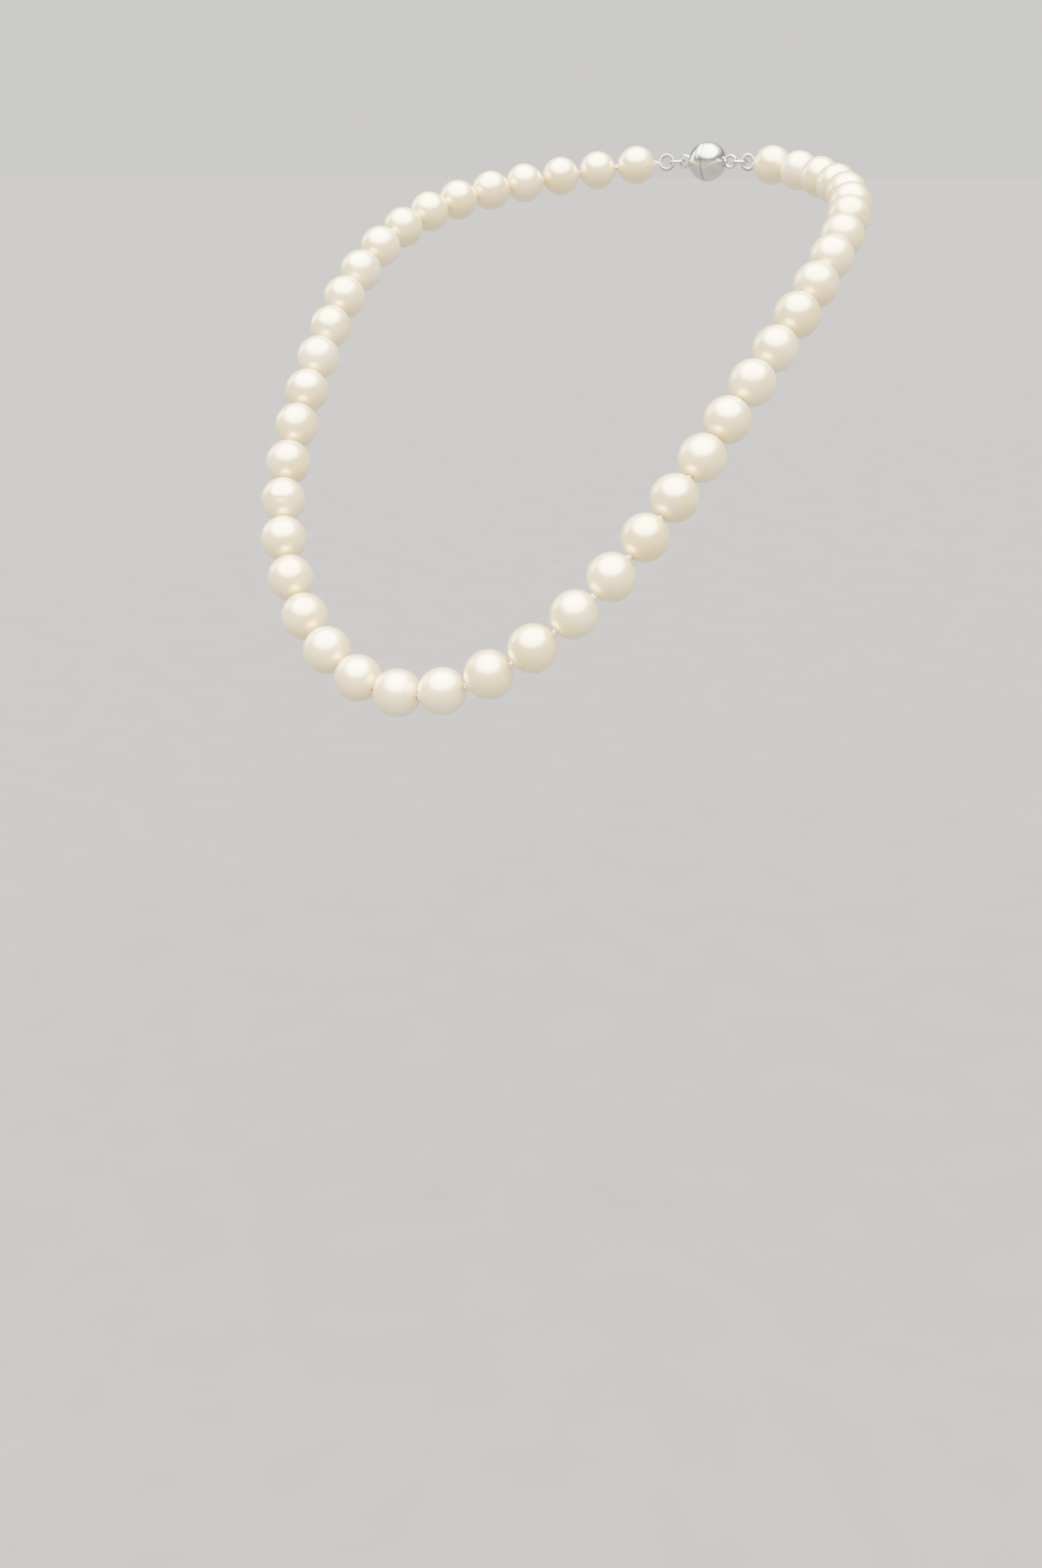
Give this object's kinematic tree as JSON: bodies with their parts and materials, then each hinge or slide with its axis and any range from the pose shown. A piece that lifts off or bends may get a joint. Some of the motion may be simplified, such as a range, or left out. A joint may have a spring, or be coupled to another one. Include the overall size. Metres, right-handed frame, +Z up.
{
  "type": "necklace",
  "caption": "Hand-knotted strand of near-round cream pearls, draped as it is worn and closed behind the neck by a magnetic ball clasp.",
  "frame": {"origin": "point of the wearer's chest on which the front pearl rests, on the plane of symmetry", "axes": "+Z up, +Y from the chest towards the nape, +X to the right of someone looking at the wearer"},
  "size_m": [0.116, 0.154, 0.1002],
  "materials": {
    "nacre": "lustrous pearl nacre, creamy white",
    "silk": "twisted silk, cream",
    "bullion_wire": "fine coiled wire, silver",
    "clasp_metal": "satin silver",
    "magnet_plating": "nickel-plated magnet"
  },
  "bodies": {
    "pearl_front": {"pearl_front": "nacre", "silk_thread": "silk"},
    "pearl_right_01": {"pearl_right_01": "nacre"},
    "pearl_right_02": {"pearl_right_02": "nacre"},
    "pearl_right_03": {"pearl_right_03": "nacre"},
    "pearl_right_04": {"pearl_right_04": "nacre"},
    "pearl_right_05": {"pearl_right_05": "nacre"},
    "pearl_right_06": {"pearl_right_06": "nacre"},
    "pearl_right_07": {"pearl_right_07": "nacre"},
    "pearl_right_08": {"pearl_right_08": "nacre"},
    "pearl_right_09": {"pearl_right_09": "nacre"},
    "pearl_right_10": {"pearl_right_10": "nacre"},
    "pearl_right_11": {"pearl_right_11": "nacre"},
    "pearl_right_12": {"pearl_right_12": "nacre"},
    "pearl_right_13": {"pearl_right_13": "nacre"},
    "pearl_right_14": {"pearl_right_14": "nacre"},
    "pearl_right_15": {"pearl_right_15": "nacre"},
    "pearl_right_16": {"pearl_right_16": "nacre"},
    "pearl_right_17": {"pearl_right_17": "nacre"},
    "pearl_right_18": {"pearl_right_18": "nacre"},
    "pearl_right_19": {"pearl_right_19": "nacre"},
    "pearl_right_20": {"pearl_right_20": "nacre"},
    "pearl_right_21": {"pearl_right_21": "nacre"},
    "pearl_right_22": {"pearl_right_22": "nacre", "bullion_loop_right": "bullion_wire"},
    "jump_ring_right": {"jump_ring_right": "clasp_metal"},
    "clasp_right": {"clasp_shell_right": "clasp_metal", "clasp_eye_right": "clasp_metal", "clasp_magnet_right": "magnet_plating", "clasp_bezel_right": "clasp_metal"},
    "pearl_left_01": {"pearl_left_01": "nacre"},
    "pearl_left_02": {"pearl_left_02": "nacre"},
    "pearl_left_03": {"pearl_left_03": "nacre"},
    "pearl_left_04": {"pearl_left_04": "nacre"},
    "pearl_left_05": {"pearl_left_05": "nacre"},
    "pearl_left_06": {"pearl_left_06": "nacre"},
    "pearl_left_07": {"pearl_left_07": "nacre"},
    "pearl_left_08": {"pearl_left_08": "nacre"},
    "pearl_left_09": {"pearl_left_09": "nacre"},
    "pearl_left_10": {"pearl_left_10": "nacre"},
    "pearl_left_11": {"pearl_left_11": "nacre"},
    "pearl_left_12": {"pearl_left_12": "nacre"},
    "pearl_left_13": {"pearl_left_13": "nacre"},
    "pearl_left_14": {"pearl_left_14": "nacre"},
    "pearl_left_15": {"pearl_left_15": "nacre"},
    "pearl_left_16": {"pearl_left_16": "nacre"},
    "pearl_left_17": {"pearl_left_17": "nacre"},
    "pearl_left_18": {"pearl_left_18": "nacre"},
    "pearl_left_19": {"pearl_left_19": "nacre"},
    "pearl_left_20": {"pearl_left_20": "nacre"},
    "pearl_left_21": {"pearl_left_21": "nacre"},
    "pearl_left_22": {"pearl_left_22": "nacre", "bullion_loop_left": "bullion_wire"},
    "jump_ring_left": {"jump_ring_left": "clasp_metal"},
    "clasp_left": {"clasp_shell_left": "clasp_metal", "clasp_eye_left": "clasp_metal", "clasp_magnet_left": "magnet_plating", "clasp_bezel_left": "clasp_metal"}
  },
  "joints": [
    {"name": "knot_01_lift_right", "type": "hinge", "parent": "pearl_front", "child": "pearl_right_01", "pos_m": [0.0049, -0.00388, 0.00257], "axis": [1, 0, 0], "range_deg": [-30, 30], "deforming": ["silk_thread"]},
    {"name": "knot_01_lift_left", "type": "hinge", "parent": "pearl_front", "child": "pearl_left_01", "pos_m": [-0.0049, -0.00388, 0.00257], "axis": [1, 0, 0], "range_deg": [-30, 30], "deforming": ["silk_thread"]},
    {"name": "knot_02_open_right", "type": "hinge", "parent": "pearl_right_01", "child": "pearl_right_02", "pos_m": [0.01407, -0.00202, 0.00544], "axis": [0, 0.8315, -0.5555], "range_deg": [0, 30], "deforming": ["silk_thread"]},
    {"name": "knot_02_open_left", "type": "hinge", "parent": "pearl_left_01", "child": "pearl_left_02", "pos_m": [-0.01407, -0.00202, 0.00544], "axis": [0, -0.8315, 0.5555], "range_deg": [0, 30], "deforming": ["silk_thread"]},
    {"name": "knot_03_lift_right", "type": "hinge", "parent": "pearl_right_02", "child": "pearl_right_03", "pos_m": [0.02214, 0.00103, 0.00993], "axis": [-1, 0, 0], "range_deg": [-24, 24], "deforming": ["silk_thread"]},
    {"name": "knot_03_lift_left", "type": "hinge", "parent": "pearl_left_02", "child": "pearl_left_03", "pos_m": [-0.02214, 0.00103, 0.00993], "axis": [-1, 0, 0], "range_deg": [-24, 24], "deforming": ["silk_thread"]},
    {"name": "knot_04_open_right", "type": "hinge", "parent": "pearl_right_03", "child": "pearl_right_04", "pos_m": [0.029, 0.00519, 0.01567], "axis": [0, 0.7978, -0.603], "range_deg": [0, 30], "deforming": ["silk_thread"]},
    {"name": "knot_04_open_left", "type": "hinge", "parent": "pearl_left_03", "child": "pearl_left_04", "pos_m": [-0.029, 0.00519, 0.01567], "axis": [0, -0.7978, 0.603], "range_deg": [0, 30], "deforming": ["silk_thread"]},
    {"name": "knot_05_lift_right", "type": "hinge", "parent": "pearl_right_04", "child": "pearl_right_05", "pos_m": [0.03462, 0.01016, 0.022], "axis": [1, 0, 0], "range_deg": [-24, 24], "deforming": ["silk_thread"]},
    {"name": "knot_05_lift_left", "type": "hinge", "parent": "pearl_left_04", "child": "pearl_left_05", "pos_m": [-0.03462, 0.01016, 0.022], "axis": [1, 0, 0], "range_deg": [-24, 24], "deforming": ["silk_thread"]},
    {"name": "knot_06_open_right", "type": "hinge", "parent": "pearl_right_05", "child": "pearl_right_06", "pos_m": [0.03904, 0.0158, 0.02844], "axis": [0, 0.7345, -0.6787], "range_deg": [0, 30], "deforming": ["silk_thread"]},
    {"name": "knot_06_open_left", "type": "hinge", "parent": "pearl_left_05", "child": "pearl_left_06", "pos_m": [-0.03904, 0.0158, 0.02844], "axis": [0, -0.7345, 0.6787], "range_deg": [0, 30], "deforming": ["silk_thread"]},
    {"name": "knot_07_lift_right", "type": "hinge", "parent": "pearl_right_06", "child": "pearl_right_07", "pos_m": [0.04241, 0.02205, 0.03487], "axis": [-1, 0, 0], "range_deg": [-24, 24], "deforming": ["silk_thread"]},
    {"name": "knot_07_lift_left", "type": "hinge", "parent": "pearl_left_06", "child": "pearl_left_07", "pos_m": [-0.04241, 0.02205, 0.03487], "axis": [-1, 0, 0], "range_deg": [-24, 24], "deforming": ["silk_thread"]},
    {"name": "knot_08_open_right", "type": "hinge", "parent": "pearl_right_07", "child": "pearl_right_08", "pos_m": [0.045, 0.02885, 0.04129], "axis": [0, 0.6734, -0.7393], "range_deg": [0, 30], "deforming": ["silk_thread"]},
    {"name": "knot_08_open_left", "type": "hinge", "parent": "pearl_left_07", "child": "pearl_left_08", "pos_m": [-0.045, 0.02885, 0.04129], "axis": [0, -0.6734, 0.7393], "range_deg": [0, 30], "deforming": ["silk_thread"]},
    {"name": "knot_09_lift_right", "type": "hinge", "parent": "pearl_right_08", "child": "pearl_right_09", "pos_m": [0.04711, 0.03604, 0.04762], "axis": [1, 0, 0], "range_deg": [-24, 24], "deforming": ["silk_thread"]},
    {"name": "knot_09_lift_left", "type": "hinge", "parent": "pearl_left_08", "child": "pearl_left_09", "pos_m": [-0.04711, 0.03604, 0.04762], "axis": [1, 0, 0], "range_deg": [-24, 24], "deforming": ["silk_thread"]},
    {"name": "knot_10_open_right", "type": "hinge", "parent": "pearl_right_09", "child": "pearl_right_10", "pos_m": [0.04897, 0.04318, 0.05355], "axis": [0, 0.6287, -0.7776], "range_deg": [0, 30], "deforming": ["silk_thread"]},
    {"name": "knot_10_open_left", "type": "hinge", "parent": "pearl_left_09", "child": "pearl_left_10", "pos_m": [-0.04897, 0.04318, 0.05355], "axis": [0, -0.6287, 0.7776], "range_deg": [0, 30], "deforming": ["silk_thread"]},
    {"name": "knot_11_lift_right", "type": "hinge", "parent": "pearl_right_10", "child": "pearl_right_11", "pos_m": [0.0507, 0.05062, 0.0594], "axis": [-1, 0, 0], "range_deg": [-24, 24], "deforming": ["silk_thread"]},
    {"name": "knot_11_lift_left", "type": "hinge", "parent": "pearl_left_10", "child": "pearl_left_11", "pos_m": [-0.0507, 0.05062, 0.0594], "axis": [-1, 0, 0], "range_deg": [-24, 24], "deforming": ["silk_thread"]},
    {"name": "knot_12_open_right", "type": "hinge", "parent": "pearl_right_11", "child": "pearl_right_12", "pos_m": [0.05217, 0.05827, 0.065], "axis": [0, 0.573, -0.8196], "range_deg": [0, 30], "deforming": ["silk_thread"]},
    {"name": "knot_12_open_left", "type": "hinge", "parent": "pearl_left_11", "child": "pearl_left_12", "pos_m": [-0.05217, 0.05827, 0.065], "axis": [0, -0.573, 0.8196], "range_deg": [0, 30], "deforming": ["silk_thread"]},
    {"name": "knot_13_lift_right", "type": "hinge", "parent": "pearl_right_12", "child": "pearl_right_13", "pos_m": [0.05322, 0.06616, 0.07026], "axis": [1, 0, 0], "range_deg": [-24, 24], "deforming": ["silk_thread"]},
    {"name": "knot_13_lift_left", "type": "hinge", "parent": "pearl_left_12", "child": "pearl_left_13", "pos_m": [-0.05322, 0.06616, 0.07026], "axis": [1, 0, 0], "range_deg": [-24, 24], "deforming": ["silk_thread"]},
    {"name": "knot_14_open_right", "type": "hinge", "parent": "pearl_right_13", "child": "pearl_right_14", "pos_m": [0.05364, 0.07443, 0.07511], "axis": [0, 0.473, -0.8811], "range_deg": [0, 30], "deforming": ["silk_thread"]},
    {"name": "knot_14_open_left", "type": "hinge", "parent": "pearl_left_13", "child": "pearl_left_14", "pos_m": [-0.05364, 0.07443, 0.07511], "axis": [0, -0.473, 0.8811], "range_deg": [0, 30], "deforming": ["silk_thread"]},
    {"name": "knot_15_lift_right", "type": "hinge", "parent": "pearl_right_14", "child": "pearl_right_15", "pos_m": [0.05324, 0.0829, 0.07926], "axis": [-1, 0, 0], "range_deg": [-24, 24], "deforming": ["silk_thread"]},
    {"name": "knot_15_lift_left", "type": "hinge", "parent": "pearl_left_14", "child": "pearl_left_15", "pos_m": [-0.05324, 0.0829, 0.07926], "axis": [-1, 0, 0], "range_deg": [-24, 24], "deforming": ["silk_thread"]},
    {"name": "knot_16_open_right", "type": "hinge", "parent": "pearl_right_15", "child": "pearl_right_16", "pos_m": [0.05186, 0.09173, 0.08269], "axis": [0, 0.3231, -0.9464], "range_deg": [0, 30], "deforming": ["silk_thread"]},
    {"name": "knot_16_open_left", "type": "hinge", "parent": "pearl_left_15", "child": "pearl_left_16", "pos_m": [-0.05186, 0.09173, 0.08269], "axis": [0, -0.3231, 0.9464], "range_deg": [0, 30], "deforming": ["silk_thread"]},
    {"name": "knot_17_lift_right", "type": "hinge", "parent": "pearl_right_16", "child": "pearl_right_17", "pos_m": [0.0496, 0.10033, 0.08522], "axis": [1, 0, 0], "range_deg": [-24, 24], "deforming": ["silk_thread"]},
    {"name": "knot_17_lift_left", "type": "hinge", "parent": "pearl_left_16", "child": "pearl_left_17", "pos_m": [-0.0496, 0.10033, 0.08522], "axis": [1, 0, 0], "range_deg": [-24, 24], "deforming": ["silk_thread"]},
    {"name": "knot_18_open_right", "type": "hinge", "parent": "pearl_right_17", "child": "pearl_right_18", "pos_m": [0.04629, 0.10905, 0.08717], "axis": [0, 0.201, -0.9796], "range_deg": [0, 30], "deforming": ["silk_thread"]},
    {"name": "knot_18_open_left", "type": "hinge", "parent": "pearl_left_17", "child": "pearl_left_18", "pos_m": [-0.04629, 0.10905, 0.08717], "axis": [0, -0.201, 0.9796], "range_deg": [0, 30], "deforming": ["silk_thread"]},
    {"name": "knot_19_lift_right", "type": "hinge", "parent": "pearl_right_18", "child": "pearl_right_19", "pos_m": [0.04177, 0.11739, 0.08872], "axis": [-1, 0, 0], "range_deg": [-24, 24], "deforming": ["silk_thread"]},
    {"name": "knot_19_lift_left", "type": "hinge", "parent": "pearl_left_18", "child": "pearl_left_19", "pos_m": [-0.04177, 0.11739, 0.08872], "axis": [-1, 0, 0], "range_deg": [-24, 24], "deforming": ["silk_thread"]},
    {"name": "knot_20_open_right", "type": "hinge", "parent": "pearl_right_19", "child": "pearl_right_20", "pos_m": [0.0362, 0.12469, 0.09003], "axis": [0, 0.1847, -0.9828], "range_deg": [0, 30], "deforming": ["silk_thread"]},
    {"name": "knot_20_open_left", "type": "hinge", "parent": "pearl_left_19", "child": "pearl_left_20", "pos_m": [-0.0362, 0.12469, 0.09003], "axis": [0, -0.1847, 0.9828], "range_deg": [0, 30], "deforming": ["silk_thread"]},
    {"name": "knot_21_lift_right", "type": "hinge", "parent": "pearl_right_20", "child": "pearl_right_21", "pos_m": [0.02943, 0.13104, 0.09129], "axis": [1, 0, 0], "range_deg": [-30, 30], "deforming": ["silk_thread"]},
    {"name": "knot_21_lift_left", "type": "hinge", "parent": "pearl_left_20", "child": "pearl_left_21", "pos_m": [-0.02943, 0.13104, 0.09129], "axis": [1, 0, 0], "range_deg": [-30, 30], "deforming": ["silk_thread"]},
    {"name": "knot_22_lift_right", "type": "hinge", "parent": "pearl_right_21", "child": "pearl_right_22", "pos_m": [0.02185, 0.13617, 0.09242], "axis": [-1, 0, 0], "range_deg": [-30, 30], "deforming": ["silk_thread"]},
    {"name": "knot_22_lift_left", "type": "hinge", "parent": "pearl_left_21", "child": "pearl_left_22", "pos_m": [-0.02185, 0.13617, 0.09242], "axis": [-1, 0, 0], "range_deg": [-30, 30], "deforming": ["silk_thread"]},
    {"name": "ring_turn_right", "type": "hinge", "parent": "pearl_right_22", "child": "jump_ring_right", "pos_m": [0.00945, 0.14073, 0.09352], "axis": [1, 0, 0], "range_deg": [-25, 25]},
    {"name": "ring_turn_left", "type": "hinge", "parent": "pearl_left_22", "child": "jump_ring_left", "pos_m": [-0.00945, 0.14073, 0.09352], "axis": [1, 0, 0], "range_deg": [-25, 25]},
    {"name": "clasp_turn_right", "type": "hinge", "parent": "jump_ring_right", "child": "clasp_right", "pos_m": [0.00672, 0.14093, 0.09357], "axis": [1, 0, 0], "range_deg": [-25, 25]},
    {"name": "clasp_turn_left", "type": "hinge", "parent": "jump_ring_left", "child": "clasp_left", "pos_m": [-0.00672, 0.14093, 0.09357], "axis": [1, 0, 0], "range_deg": [-25, 25]}
  ],
  "couplings": [
    {"joint": "knot_01_lift_left", "follows": "knot_01_lift_right", "ratio": 1},
    {"joint": "knot_03_lift_left", "follows": "knot_03_lift_right", "ratio": 1},
    {"joint": "knot_05_lift_left", "follows": "knot_05_lift_right", "ratio": 1},
    {"joint": "knot_07_lift_left", "follows": "knot_07_lift_right", "ratio": 1},
    {"joint": "knot_09_lift_left", "follows": "knot_09_lift_right", "ratio": 1},
    {"joint": "knot_11_lift_left", "follows": "knot_11_lift_right", "ratio": 1},
    {"joint": "knot_13_lift_left", "follows": "knot_13_lift_right", "ratio": 1},
    {"joint": "knot_15_lift_left", "follows": "knot_15_lift_right", "ratio": 1},
    {"joint": "knot_17_lift_left", "follows": "knot_17_lift_right", "ratio": 1},
    {"joint": "knot_19_lift_left", "follows": "knot_19_lift_right", "ratio": 1},
    {"joint": "knot_21_lift_left", "follows": "knot_21_lift_right", "ratio": 1},
    {"joint": "knot_22_lift_left", "follows": "knot_22_lift_right", "ratio": 1},
    {"joint": "ring_turn_left", "follows": "ring_turn_right", "ratio": 1},
    {"joint": "clasp_turn_left", "follows": "clasp_turn_right", "ratio": 1}
  ]
}
